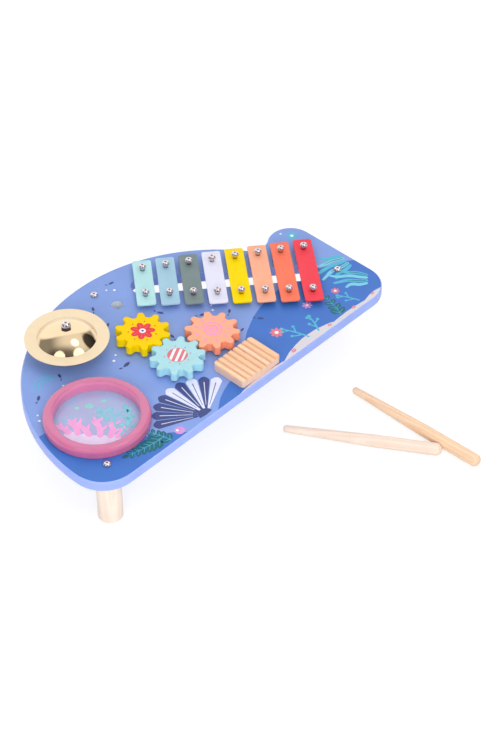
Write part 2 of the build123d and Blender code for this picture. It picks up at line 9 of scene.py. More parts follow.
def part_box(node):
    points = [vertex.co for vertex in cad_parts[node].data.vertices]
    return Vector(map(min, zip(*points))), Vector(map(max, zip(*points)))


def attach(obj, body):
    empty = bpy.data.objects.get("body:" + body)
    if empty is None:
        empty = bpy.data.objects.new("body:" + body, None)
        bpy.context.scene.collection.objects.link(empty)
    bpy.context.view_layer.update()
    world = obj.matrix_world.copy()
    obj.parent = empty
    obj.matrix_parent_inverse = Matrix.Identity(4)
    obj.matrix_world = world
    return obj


# Looks of the musical activity table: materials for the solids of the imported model, ink
# prints on the board, the gears and the drum film, and a white studio.
# Metres, +Z up. Prints are drawn in millimetres of the board's plan: y = 0 is the
# straight front edge, and x = 0 passes through the centre of the board's big round arc.

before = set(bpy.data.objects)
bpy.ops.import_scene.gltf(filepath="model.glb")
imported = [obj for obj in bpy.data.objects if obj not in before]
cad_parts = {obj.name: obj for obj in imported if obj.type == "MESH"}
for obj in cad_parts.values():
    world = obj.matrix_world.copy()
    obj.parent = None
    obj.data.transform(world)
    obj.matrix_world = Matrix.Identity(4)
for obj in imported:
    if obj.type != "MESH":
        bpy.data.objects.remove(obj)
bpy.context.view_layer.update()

MM = 0.001
DISC_RADIUS = 193.8     # the board's big round arc, in millimetres
board_low, board_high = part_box("board")
ARC_X = board_low.x + DISC_RADIUS * MM
FRONT_Y = board_low.y
BOARD_TOP = board_high.z


def plan(x, y, rise=0.0):
    """A point of the plan, at a height above the board's top, in metres."""
    return Vector((ARC_X + x * MM, FRONT_Y + y * MM, BOARD_TOP + rise * MM))


def plan_place(node):
    """The middle of a node in the plan, in millimetres."""
    low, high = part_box(node)
    return ((low.x + high.x) / 2 - ARC_X) / MM, ((low.y + high.y) / 2 - FRONT_Y) / MM


def from_point(start, distance, angle):
    """The point at a distance and an angle in degrees from a start point."""
    turn = math.radians(angle)
    return start[0] + distance * math.cos(turn), start[1] + distance * math.sin(turn)


# ---- colours ---------------------------------------------------------------------
def paint(red, green, blue):
    """An sRGB colour in the renderer's linear values."""
    linear = []
    for value in (red, green, blue):
        share = value / 255
        linear.append(share / 12.92 if share <= 0.04045 else ((share + 0.055) / 1.055) ** 2.4)
    return (*linear, 1.0)


SKY_BLUE = paint(130, 158, 222)
DEEP_BLUE = paint(62, 114, 198)
SIDE_BLUE = paint(158, 179, 248)
SAND = paint(216, 211, 217)
# The stick hole's wall: bare grey in part, lightened as painted light against the shade in the hole
HOLE_GREY_AND_PAINTED_LIGHT = paint(216, 224, 234)
NAVY = paint(66, 76, 134)
PALE_LILAC = paint(226, 228, 250)
ORCHID = paint(214, 146, 214)
AQUA = paint(84, 184, 212)
PALE_AQUA = paint(122, 206, 226)
DARK_TEAL = paint(30, 104, 118)
ROSE = paint(228, 122, 140)
WHITE_INK = paint(240, 244, 252)
SCARLET = paint(232, 58, 66)
BUBBLE_PINK = paint(248, 152, 208)
CORAL_PINK = paint(222, 120, 128)

BAR_COLOURS = (
    paint(184, 228, 232),
    paint(166, 203, 223),
    paint(126, 141, 142),
    paint(229, 228, 246),
    paint(255, 219, 0),
    paint(252, 178, 146),
    paint(253, 126, 98),
    paint(244, 74, 88),
)
# Each gear's top colour, and the stronger colour of its sides, which is painted light making up for
# the shade there
GEAR_COLOURS = {
    "yellow": (paint(250, 206, 4), paint(255, 218, 0)),
    "mint": (paint(174, 219, 227), paint(172, 227, 239)),
    "peach": (paint(253, 176, 144), paint(255, 158, 122)),
}


# ---- node trees ------------------------------------------------------------------
class Graph:
    """A material's node tree around one principled shader."""

    def __init__(self, name, metallic=0.0, **uniform):
        self.material = bpy.data.materials.new(name)
        self.material.use_nodes = True
        self.tree = self.material.node_tree
        self.tree.nodes.clear()
        self.shader = self.add("BsdfPrincipled")
        self.shader.inputs["Metallic"].default_value = metallic
        for socket, value in uniform.items():
            self.shader.inputs[socket.replace("_", " ")].default_value = value
        output = self.add("OutputMaterial")
        self.tree.links.new(self.shader.outputs[0], output.inputs["Surface"])
        self.coordinates = self.add("TexCoord")

    def add(self, kind, **settings):
        node = self.tree.nodes.new("ShaderNode" + kind)
        for name, value in settings.items():
            setattr(node, name, value)
        return node

    def feed(self, socket, value):
        if isinstance(value, bpy.types.NodeSocket):
            self.tree.links.new(value, socket)
        else:
            socket.default_value = value

    def surface(self, colour, roughness, normal=None):
        self.feed(self.shader.inputs["Base Color"], colour)
        self.feed(self.shader.inputs["Roughness"], roughness)
        if normal is not None:
            self.feed(self.shader.inputs["Normal"], normal)
        return self.material

    def millimetres(self, origin=(0.0, 0.0, 0.0), turn=(0.0, 0.0, 0.0)):
        """The piece's own coordinates in millimetres from an origin, turned by degrees."""
        moved = self.add("Mapping")
        self.feed(moved.inputs["Vector"], self.coordinates.outputs["Object"])
        moved.inputs["Location"].default_value = [-value for value in origin]
        turned = self.add("Mapping")
        self.feed(turned.inputs["Vector"], moved.outputs[0])
        turned.inputs["Rotation"].default_value = [math.radians(value) for value in turn]
        turned.inputs["Scale"].default_value = (1 / MM,) * 3
        return turned.outputs[0]

    def stretched(self, vector, scale):
        node = self.add("Mapping")
        self.feed(node.inputs["Vector"], vector)
        node.inputs["Scale"].default_value = scale
        return node.outputs[0]

    def parts(self, vector):
        node = self.add("SeparateXYZ")
        self.feed(node.inputs[0], vector)
        return node.outputs

    def facing(self):
        """The surface's direction in the piece's own axes."""
        return self.parts(self.coordinates.outputs["Normal"])

    def noise(self, vector, scale, detail=2.0, distortion=0.0):
        node = self.add("TexNoise")
        self.feed(node.inputs["Vector"], vector)
        node.inputs["Scale"].default_value = scale
        node.inputs["Detail"].default_value = detail
        node.inputs["Distortion"].default_value = distortion
        return node.outputs[0]

    def calc(self, operation, first, second=0.0, third=0.0):
        node = self.add("Math", operation=operation)
        for socket, value in zip(node.inputs, (first, second, third)):
            self.feed(socket, value)
        return node.outputs[0]

    def distance(self, vector, point):
        node = self.add("VectorMath", operation="DISTANCE")
        self.feed(node.inputs[0], vector)
        node.inputs[1].default_value = point
        return node.outputs["Value"]

    def step(self, value, start, end):
        """0 before start, 1 after end, smooth in between."""
        node = self.add("MapRange", interpolation_type="SMOOTHSTEP")
        self.feed(node.inputs["Value"], value)
        node.inputs["From Min"].default_value = start
        node.inputs["From Max"].default_value = end
        return node.outputs["Result"]

    def spread(self, value, low, high):
        """A value from 0 to 1, moved to a range."""
        return self.calc("MULTIPLY_ADD", value, high - low, low)

    def mix(self, share, first, second, blend="MIX"):
        node = self.add("Mix", data_type="RGBA", blend_type=blend)
        self.feed(node.inputs[0], share)
        self.feed(node.inputs[6], first)
        self.feed(node.inputs[7], second)
        return node.outputs[2]

    def bump(self, height, depth):
        """A normal from a height field whose full range is depth metres."""
        node = self.add("Bump")
        self.feed(node.inputs["Height"], height)
        node.inputs["Distance"].default_value = depth
        return node.outputs[0]

    def uneven(self, colour, vector, size, amount):
        """A colour with soft cloudy variation, size in millimetres."""
        cloud = self.step(self.noise(vector, 1 / size, 4.0), 0.25, 0.75)
        shade = self.spread(cloud, 1 - amount, 1 + amount)
        grey = self.add("CombineXYZ")
        for socket in grey.inputs:
            self.feed(socket, shade)
        return self.mix(1.0, colour, grey.outputs[0], "MULTIPLY")


# ---- materials -------------------------------------------------------------------
SWELLS = ((144.0, -66.0, 148.0), (20.0, -61.0, 84.0), (-152.0, -63.0, 97.0), (-186.0, 26.0, 75.0))
DUNES = ((104.0, -88.0, 100.0), (158.0, -190.0, 196.5), (203.0, -40.0, 47.5), (30.0, -190.0, 194.4))
PRINT_EDGE = -0.06      # the print ends this far down the board's rounded edge
STICK_HOLE = (3.6, 186.6, 0.0)
STICK_HOLE_RADIUS = 6.25


def board_lacquer():
    """Blue lacquer whose top is printed with rounded swells and a strip of sand."""
    graph = Graph("board_lacquer", Specular_IOR_Level=0.3)
    place = graph.millimetres((ARC_X, FRONT_Y, BOARD_TOP))
    level = graph.stretched(place, (1.0, 1.0, 0.0))
    wobble = graph.spread(graph.noise(level, 0.16, 1.0), -0.5, 0.5)

    def inside(circles, colour, fill):
        for x, y, radius in circles:
            reach = graph.calc("ADD", graph.distance(level, (x, y, 0.0)), wobble)
            colour = graph.mix(graph.step(reach, radius + 0.1, radius - 0.1), colour, fill)
        return colour

    grains = graph.step(graph.noise(level, 1.3, 2.0), 0.6, 0.7)
    sand = graph.mix(graph.calc("MULTIPLY", grains, 0.35), SAND, ROSE)
    colour = inside(DUNES, inside(SWELLS, SKY_BLUE, DEEP_BLUE), sand)
    height = graph.parts(place)[2]
    # The stick hole's wall is pale grey: bare wood in part, and painted light making up for the
    # shade inside the hole
    hole = graph.distance(level, STICK_HOLE)
    bare_and_lit_hole_wall = graph.step(hole, STICK_HOLE_RADIUS + 0.5, STICK_HOLE_RADIUS + 0.2)
    side = graph.mix(bare_and_lit_hole_wall, SIDE_BLUE, HOLE_GREY_AND_PAINTED_LIGHT)
    colour = graph.mix(graph.step(height, PRINT_EDGE - 0.04, PRINT_EDGE + 0.02), side, colour)
    colour = graph.uneven(colour, place, 34.0, 0.035)
    colour = graph.uneven(colour, place, 1.4, 0.012)
    peel = graph.noise(place, 0.9, 3.0)
    return graph.surface(colour, graph.spread(peel, 0.34, 0.46), graph.bump(peel, 0.00003))


# Cycles of the pattern in a millimetre, along and across the grain
STREAK = (0.016, 0.42, 0.42)
RING_DRIFT = (0.006, 0.06, 0.06)
FLECK = (0.28, 2.6, 2.6)
PITH = (0.0, 21.0, -17.0)       # the middle of the rings, off the piece, in millimetres
RING_WANDER = 9.0               # how far the rings drift from true circles
RING_SHARE = 0.38               # of the tone; the rest comes from the streaks
FLECK_SHARE = 0.45


def wood(name, tones, origin, turn, ring=2.6, upright=None):
    """Sanded beech: rings, long streaks and short dark flecks along the first axis.

    The tones are pale, warm and dark. The ring is the distance between two rings in
    millimetres, and upright is the colour of the sides, where it isn't that of the top."""
    pale, warm, dark = tones
    graph = Graph(name, Specular_IOR_Level=0.3)
    along = graph.millimetres(origin, turn)
    streaks = graph.noise(graph.stretched(along, STREAK), 1.0, 4.0, 0.4)
    drift = graph.noise(graph.stretched(along, RING_DRIFT), 1.0, 2.0)
    pith = graph.distance(graph.stretched(along, (0.02, 1.0, 1.0)), PITH)
    phase = graph.calc("MULTIPLY_ADD", drift, RING_WANDER, pith)
    wave = graph.calc("SINE", graph.calc("MULTIPLY", phase, math.tau / ring))
    rings = graph.spread(wave, 0.5, 1.0)
    weighed_streaks = graph.calc("MULTIPLY", streaks, 1 - RING_SHARE)
    tone = graph.calc("MULTIPLY_ADD", rings, RING_SHARE, weighed_streaks)
    colour = graph.mix(graph.step(tone, 0.3, 0.8), pale, warm)
    flecks = graph.step(graph.noise(graph.stretched(along, FLECK), 1.0, 2.0), 0.6, 0.72)
    colour = graph.mix(graph.calc("MULTIPLY", flecks, FLECK_SHARE), colour, dark)
    if upright is not None:
        colour = graph.mix(graph.step(graph.facing()[2], 0.6, 0.1), colour, upright)
    colour = graph.uneven(colour, along, 26.0, 0.03)
    relief = graph.calc("MULTIPLY_ADD", flecks, -0.6, streaks)
    roughness = graph.spread(streaks, 0.42, 0.6)
    return graph.surface(colour, roughness, graph.bump(relief, 0.00006))


def enamel(name, colour):
    """Satin enamel with a faint orange peel."""
    graph = Graph(name, Specular_IOR_Level=0.2, Specular_Tint=colour)
    place = graph.millimetres()
    tint = graph.uneven(graph.uneven(colour, place, 17.0, 0.03), place, 0.8, 0.012)
    peel = graph.noise(place, 1.1, 3.0)
    return graph.surface(tint, graph.spread(peel, 0.3, 0.42), graph.bump(peel, 0.00004))


def lacquer_with_painted_lit_sides(name, top, side):
    """Satin lacquer; the sides take a stronger colour of their own, painted light that makes up for
    the shade on the sides.
    """
    graph = Graph(name, Specular_IOR_Level=0.2, Specular_Tint=top)
    place = graph.millimetres()
    # Faces turned away from up take the side colour: painted light against their shade
    colour = graph.mix(graph.step(graph.facing()[2], 0.35, 0.8), side, top)
    colour = graph.uneven(graph.uneven(colour, place, 12.0, 0.03), place, 0.7, 0.012)
    grain = graph.noise(graph.stretched(place, (0.15, 1.4, 1.4)), 1.0, 3.0)
    return graph.surface(colour, graph.spread(grain, 0.34, 0.46), graph.bump(grain, 0.00005))


DRUM_OPENING_RADIUS = 42.5


def gloss_lacquer(name, colour, inner, axis):
    """Gloss lacquer over turned wood with faint lathe rings; inside the opening the colour is
    painted lighter, painted light on the inner wall.
    """
    graph = Graph(name, Coat_Weight=0.5, Coat_Roughness=0.08)
    place = graph.millimetres(axis)
    reach = graph.distance(graph.stretched(place, (1.0, 1.0, 0.0)), (0.0, 0.0, 0.0))
    # Inside the opening the ring takes the lighter colour: painted light on the inner wall
    inside = graph.step(reach, DRUM_OPENING_RADIUS + 2, DRUM_OPENING_RADIUS)
    shade = graph.mix(inside, colour, inner)
    tint = graph.uneven(graph.uneven(shade, place, 24.0, 0.04), place, 0.9, 0.012)
    turning = graph.calc("SINE", graph.calc("MULTIPLY", reach, math.tau / 1.7))
    relief = graph.calc("MULTIPLY_ADD", turning, 0.12, graph.noise(place, 0.35, 3.0))
    return graph.surface(tint, graph.spread(graph.noise(place, 0.5), 0.16, 0.26),
                         graph.bump(relief, 0.00008))


# How far the metal's painted shade looks for nearby surfaces, and the near-black that it darkens
# towards
CORNER_REACH = 1.4 * MM
PAINTED_RECESS_SHADE = (0.05, 0.05, 0.06, 1.0)


def bright_metal(name, colour, smooth=0.07, rough=0.18):
    """Plated metal with painted shade in its corners and recesses."""
    graph = Graph(name, metallic=1.0)
    place = graph.millimetres()
    # Ambient occlusion darkens the colour towards near-black where the surface is closed in:
    # painted shade in corners and recesses
    corners = graph.add("AmbientOcclusion", only_local=False)
    corners.inputs["Distance"].default_value = CORNER_REACH
    unshaded_share = graph.step(corners.outputs["AO"], 0.2, 0.7)
    tint = graph.uneven(graph.mix(unshaded_share, PAINTED_RECESS_SHADE, colour), place, 2.5, 0.05)
    polish = graph.noise(place, 0.8, 4.0)
    return graph.surface(tint, graph.spread(polish, smooth, rough), graph.bump(polish, 0.00002))


def matt_rubber(name, colour):
    """Soft matt rubber with a fine grain."""
    graph = Graph(name, Sheen_Weight=0.1)
    place = graph.millimetres()
    tint = graph.uneven(colour, place, 1.5, 0.12)
    fine = graph.noise(place, 4.0, 3.0)
    return graph.surface(tint, graph.spread(fine, 0.65, 0.85), graph.bump(fine, 0.00005))


DOME_RADIUS = 30.6
DOME_GOLD = (0.80, 0.62, 0.40, 1.0)
FLANGE_GOLD = (0.76, 0.62, 0.43, 1.0)


def spun_gold(name, axis):
    """Pale gold sheet: a polished dome, a satin flange and the fine rings of spinning."""
    graph = Graph(name, metallic=1.0)
    place = graph.millimetres(axis)
    reach = graph.distance(graph.stretched(place, (1.0, 1.0, 0.0)), (0.0, 0.0, 0.0))
    outer = graph.step(reach, DOME_RADIUS - 0.3, DOME_RADIUS + 0.3)
    colour = graph.mix(outer, DOME_GOLD, FLANGE_GOLD)
    colour = graph.uneven(colour, place, 14.0, 0.02)
    rings = graph.calc("SINE", graph.calc("MULTIPLY", reach, math.tau / 0.9))
    haze = graph.noise(graph.stretched(place, (0.4, 0.4, 0.4)), 1.0, 3.0)
    roughness = graph.calc("MULTIPLY_ADD", outer, 0.26, graph.spread(haze, 0.04, 0.1))
    relief = graph.calc("MULTIPLY_ADD", rings, 0.3, haze)
    return graph.surface(colour, roughness, graph.bump(relief, 0.000012))


def clear_film(name):
    """Thin glossy film with a milky lilac haze."""
    graph = Graph(name, Alpha=0.82, Coat_Weight=0.15, Coat_Roughness=0.05, Specular_IOR_Level=0.3)
    place = graph.millimetres()
    haze = graph.step(graph.noise(place, 0.03, 2.0), 0.35, 0.65)
    colour = graph.mix(haze, paint(180, 180, 222), paint(168, 190, 228))
    ripple = graph.noise(place, 0.05, 2.0)
    return graph.surface(colour, graph.spread(haze, 0.1, 0.16), graph.bump(ripple, 0.0003))


def ink(name, colour):
    """Printed ink with a slightly dry, uneven body."""
    graph = Graph(name, Specular_IOR_Level=0.25)
    place = graph.millimetres()
    tint = graph.uneven(graph.uneven(colour, place, 9.0, 0.05), place, 0.6, 0.02)
    dry = graph.noise(place, 1.2, 3.0)
    return graph.surface(tint, graph.spread(dry, 0.36, 0.48), graph.bump(dry, 0.00003))


def dress(nodes, material):
    """The nodes' solids take a material."""
    for name in nodes:
        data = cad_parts[name].data
        data.materials.clear()
        data.materials.append(material)


LEG_TONES = (paint(252, 236, 221), paint(250, 227, 208), paint(238, 204, 176))
STICK_1_TONES = (paint(245, 224, 209), paint(240, 212, 193), paint(218, 175, 143))
STICK_2_TONES = (paint(247, 214, 182), paint(240, 199, 162), paint(208, 154, 112))
SCRAPER_TONES = (paint(250, 214, 180), paint(245, 194, 150), paint(212, 150, 104))
SCRAPER_SIDE = paint(240, 200, 180)
SCRAPER_RING = 5.2              # between two rings, in millimetres
# How the grain is turned, in degrees: upright, across the board, or along a stick
UPRIGHT = (0.0, 90.0, 0.0)
ACROSS = (0.0, 0.0, 90.0)
ALONG_STICK_1 = (0.0, 0.0, 57.6)
ALONG_STICK_2 = (0.0, 0.0, 87.8)
CHROME = (0.72, 0.66, 0.71, 1.0)
ZINC = (0.6, 0.61, 0.64, 1.0)
BLACK_RUBBER = paint(62, 62, 70)
GREY_RUBBER = paint(120, 124, 140)
DRUM_OUTSIDE = paint(204, 108, 151)
# The inner wall's lighter pink is painted light, not a colour of the ring's own
DRUM_INSIDE_PAINTED_LIGHT = paint(226, 132, 174)


def node_middle(node):
    """The middle of a node's box, in metres."""
    low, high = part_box(node)
    return (low + high) / 2


def dress_solids():
    """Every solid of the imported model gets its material."""
    dress(["board"], board_lacquer())
    for side in ("left", "right", "back"):
        leg = f"leg_{side}"
        dress([leg], wood(f"leg_beech_{side}", LEG_TONES, node_middle(leg), UPRIGHT))
    for number, colour in enumerate(BAR_COLOURS, 1):
        dress([f"chime_bar_{number}"], enamel(f"bar_enamel_{number}", colour))
    for name, (top, side) in GEAR_COLOURS.items():
        dress([f"{name}_gear"], lacquer_with_painted_lit_sides(f"{name}_gear_lacquer", top, side))
    dress(
        [
            "leg_screws", "bar_screws", "cymbal_screw", "drum_screws", "scraper_screws",
            *[f"{name}_gear_{piece}" for name in GEAR_COLOURS for piece in ("retainer", "screw")],
        ],
        bright_metal("bright_plating", CHROME),
    )
    dress(["cymbal_nut", "cymbal_nut_washer"], bright_metal("zinc", ZINC, 0.25, 0.4))
    dress(
        ["bar_spacers", "cymbal_soft_washer", "cymbal_head_washer"],
        matt_rubber("black_rubber", BLACK_RUBBER),
    )
    dress(["gear_spacers"], matt_rubber("grey_washer", GREY_RUBBER))
    dress(["cymbal"], spun_gold("cymbal_gold", node_middle("cymbal")))
    dress(
        ["cymbal_post", *[f"{name}_gear_axle" for name in GEAR_COLOURS]],
        wood("turned_beech", LEG_TONES, node_middle("cymbal_post"), UPRIGHT),
    )
    drum_axis = node_middle("drum_ring")
    dress(["drum_ring"], gloss_lacquer("drum_lacquer", DRUM_OUTSIDE, DRUM_INSIDE_PAINTED_LIGHT, drum_axis))
    dress(["drum_film"], clear_film("drum_film"))
    scraper_place = node_middle("scraper")
    dress(
        ["scraper"],
        wood("scraper_wood", SCRAPER_TONES, scraper_place, ACROSS, SCRAPER_RING, SCRAPER_SIDE),
    )
    for name, tones, turn in (
        ("stick_1", STICK_1_TONES, ALONG_STICK_1),
        ("stick_2", STICK_2_TONES, ALONG_STICK_2),
    ):
        dress([name], wood(f"{name}_beech", tones, node_middle(name), turn))


# ---- ink shapes, as closed outlines in millimetres -------------------------------
def ellipse(centre, radius_x, radius_y=None, turn=0.0, steps=40):
    """An ellipse turned by degrees, or a circle where it has one radius."""
    radius_y = radius_y or radius_x
    c, s = math.cos(math.radians(turn)), math.sin(math.radians(turn))
    outline = []
    for step in range(steps):
        angle = math.tau * step / steps
        x, y = radius_x * math.cos(angle), radius_y * math.sin(angle)
        outline.append((centre[0] + x * c - y * s, centre[1] + x * s + y * c))
    return outline


def leaf(base, length, width, angle, steps=14):
    """A pointed oval from its base."""
    upper, lower = [], []
    for step in range(steps + 1):
        share = step / steps
        half = width / 2 * math.sin(math.pi * share) ** 0.8
        middle = from_point(base, length * share, angle)
        upper.append(from_point(middle, half, angle + 90))
        if 0 < step < steps:
            lower.append(from_point(middle, half, angle - 90))
    return upper + lower[::-1]


def smooth_line(points, steps=8):
    """An open curve through the points."""
    padded = [points[0], *points, points[-1]]
    line = []
    for a, b, c, d in zip(padded, padded[1:], padded[2:], padded[3:]):
        for step in range(steps):
            t = step / steps
            line.append(tuple(
                0.5 * (
                    2 * q
                    + (r - p) * t
                    + (2 * p - 5 * q + 4 * r - s) * t**2
                    + (3 * q - p - 3 * r + s) * t**3
                )
                for p, q, r, s in zip(a, b, c, d)
            ))
    return [*line, points[-1]]


def between(values, share):
    """The value at a share of the way along a list."""
    place = share * (len(values) - 1)
    number = min(int(place), len(values) - 2)
    return values[number] + (values[number + 1] - values[number]) * (place - number)


def ribbon(points, widths):
    """The outline of a brush stroke along a curve, and the faces that fill it.

    The widths are those at even steps along the curve."""
    line = smooth_line(points)
    last = len(line) - 1
    left, right = [], []
    for number, point in enumerate(line):
        before, after = line[max(number - 1, 0)], line[min(number + 1, last)]
        angle = math.degrees(math.atan2(after[1] - before[1], after[0] - before[0]))
        half = between(widths, number / last) / 2
        left.append(from_point(point, half, angle + 90))
        right.append(from_point(point, half, angle - 90))
        if number == 0:
            start_cap = [from_point(point, half, angle + turn) for turn in (135, 180, 225)]
    end_cap = [from_point(line[last], half, angle + turn) for turn in (-45, 0, 45)]
    outline = right + end_cap + left[::-1] + start_cap
    total = len(outline)
    across = total - len(start_cap) - 1         # the point across from point 0
    faces = [(step, step + 1, across - step - 1, across - step) for step in range(last)]
    faces.append(tuple(range(last, last + len(end_cap) + 2)))
    faces.append((*range(across, total), 0))
    return outline, faces


def bend(start, length, angle, curl):
    """Points of a stem that turns by curl degrees along its length."""
    points, place = [start], start
    for step in range(4):
        place = from_point(place, length / 4, angle + curl * (step + 0.5) / 4)
        points.append(place)
    return points


def fan_rib(hinge, start, end, inner, outer, bulge, steps=10):
    """One rib of a fan shell, between two angles, with a rounded outer end."""
    rim = []
    for step in range(steps + 1):
        share = step / steps
        reach = outer + bulge * math.sin(math.pi * share)
        rim.append(from_point(hinge, reach, start + (end - start) * share))
    return [from_point(hinge, inner, start), *rim, from_point(hinge, inner, end)]


def band_of_disc(centre, radius, low, high, turn=0.0, steps=10):
    """The stripe of a disc between two parallel chords."""
    left, right = [], []
    for step in range(steps + 1):
        y = low + (high - low) * step / steps
        x = math.sqrt(max(radius**2 - y**2, 0.0))
        left.append((-x, y))
        right.append((x, y))
    c, s = math.cos(math.radians(turn)), math.sin(math.radians(turn))
    return [(centre[0] + x * c - y * s, centre[1] + x * s + y * c) for x, y in right + left[::-1]]


# ---- prints ----------------------------------------------------------------------
INK_LAYER = 0.05        # one layer of ink, in millimetres
INK_STEP = 0.005        # between neighbouring shapes of one layer
INK_STEPS = 9           # shapes of one layer before their heights repeat
INK_FOOT = 0.02         # how deep the ink sits in the surface


class Print:
    """A piece made of thin closed ink shapes that lie on one level surface."""

    def __init__(self, name, body, surface, material_slot):
        self.name, self.body, self.slot = name, body, material_slot
        self.base = (surface - BOARD_TOP) / MM
        self.mesh = bmesh.new()
        self.inks = []
        self.count = 0

    def add(self, outline, material, layer=1, faces=None):
        """A flat shape with the given outline."""
        if material not in self.inks:
            self.inks.append(material)
        if faces is None:
            faces = tessellate_polygon([[Vector((x, y, 0.0)) for x, y in outline]])
        self.count += 1
        rise = self.base + INK_LAYER * layer + INK_STEP * (self.count % INK_STEPS)
        top = [self.mesh.verts.new(plan(x, y, rise)) for x, y in outline]
        foot = [self.mesh.verts.new(plan(x, y, self.base - INK_FOOT)) for x, y in outline]
        made = []
        for face in faces:
            made.append(self.mesh.faces.new([top[number] for number in face]))
            made.append(self.mesh.faces.new([foot[number] for number in reversed(face)]))
        for number in range(len(outline)):
            after = (number + 1) % len(outline)
            made.append(self.mesh.faces.new((foot[number], foot[after], top[after], top[number])))
        for face in made:
            face.material_index = self.inks.index(material)

    def draw(self, points, widths, material, layer=1):
        """A brush stroke along a curve."""
        outline, faces = ribbon(points, widths)
        self.add(outline, material, layer, faces)

    def place(self):
        """The finished print joins the scene and rides on its body."""
        bmesh.ops.recalc_face_normals(self.mesh, faces=self.mesh.faces)
        data = bpy.data.meshes.new(self.name)
        self.mesh.to_mesh(data)
        self.mesh.free()
        for material in self.inks:
            data.materials.append(material)
        piece = bpy.data.objects.new(self.name, data)
        bpy.context.scene.collection.objects.link(piece)
        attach(piece, self.body)


def fern(target, base, angle, length, pairs, material, vein, curl=0.0, layer=1):
    """A stem with pairs of rounded leaves and a pale vein."""
    stem = bend(base, length, angle, curl)
    line = smooth_line(stem, steps=6)
    for pair in range(pairs):
        share = (pair + 0.6) / (pairs + 0.3)
        point = line[int(share * (len(line) - 1))]
        size = length * 0.34 * (1 - 0.5 * share)
        for side in (1, -1):
            heading = angle + curl * share + side * 52
            target.add(leaf(point, size, size * 0.62, heading), material, layer)
            tip = from_point(point, size * 0.66, heading)
            target.draw([point, tip], (0.6, 0.35), vein, layer + 2)
    target.add(leaf(line[-2], length * 0.24, length * 0.12, angle + curl), material, layer)
    target.draw(stem, (1.7, 0.8), material, layer + 1)
    target.draw(stem, (0.7, 0.4), vein, layer + 3)


def berry_twig(target, base, angle, length, material, layer=1, width=2.2):
    """A forked twig whose side shoots end in round berries."""
    stem = bend(base, length, angle, 14)
    target.draw(stem, (width, width * 0.6), material, layer)
    target.add(ellipse(stem[-1], width * 0.95), material, layer)
    for number, side in ((1, 1), (2, -1), (3, 1)):
        start = stem[number]
        shoot = bend(start, length * (0.42 - 0.06 * number), angle + side * 56, -side * 22)
        target.draw(shoot, (width * 0.8, width * 0.55), material, layer)
        target.add(ellipse(shoot[-1], width * 0.8), material, layer)


def kelp(target, foot, angle, lengths, inks, vein, gap=4.6, lean=9, layer=1):
    """Wavy round-ended strands that rise side by side from one foot."""
    middle = (len(lengths) - 1) / 2
    for number, length in enumerate(lengths):
        base = from_point(foot, gap * (number - middle), angle - 90)
        heading = angle - lean * (number - middle)
        strand = []
        for step in range(6):
            sway = 2.6 * step / 5 * math.sin(1.4 * step + number)
            on_axis = from_point(base, length * step / 5, heading)
            strand.append(from_point(on_axis, sway, heading + 90))
        target.draw(strand, (3.6, 4.6, 4.6, 2.8), inks[number % len(inks)], layer)
        if number % 2:
            target.draw(strand[:4], (0.7, 0.7, 0.3), vein, layer + 2)


def rosette(target, centre, radius, petals, petal_ink, heart_ink, layer=1):
    """A blossom of oval petals around a round heart."""
    for petal in range(petals):
        angle = 360 * petal / petals
        middle = from_point(centre, radius * 0.62, angle)
        target.add(ellipse(middle, radius * 0.4, radius * 0.24, angle, 20), petal_ink, layer)
    target.add(ellipse(centre, radius * 0.3), heart_ink, layer + 1)


def fan_shell(target, hinge, reach, first, last, dark, pale):
    """A ribbed fan shell; some of its ribs are pale."""
    ribs = 9
    width = (last - first) / ribs
    for rib in range(ribs):
        start = first + rib * width
        middle = start + width / 2
        fill, vein = (pale, dark) if rib in (0, 2, 4) else (dark, pale)
        target.add(fan_rib(hinge, start + 0.7, start + width - 0.7, 9.0, reach, 4.2), fill)
        line = [from_point(hinge, 14, middle), from_point(hinge, reach - 4, middle)]
        target.draw(line, (0.5, 0.9), vein, 2)
    target.add(fan_rib(hinge, first - 20, last + 16, 0.5, 8.2, 1.0), dark)


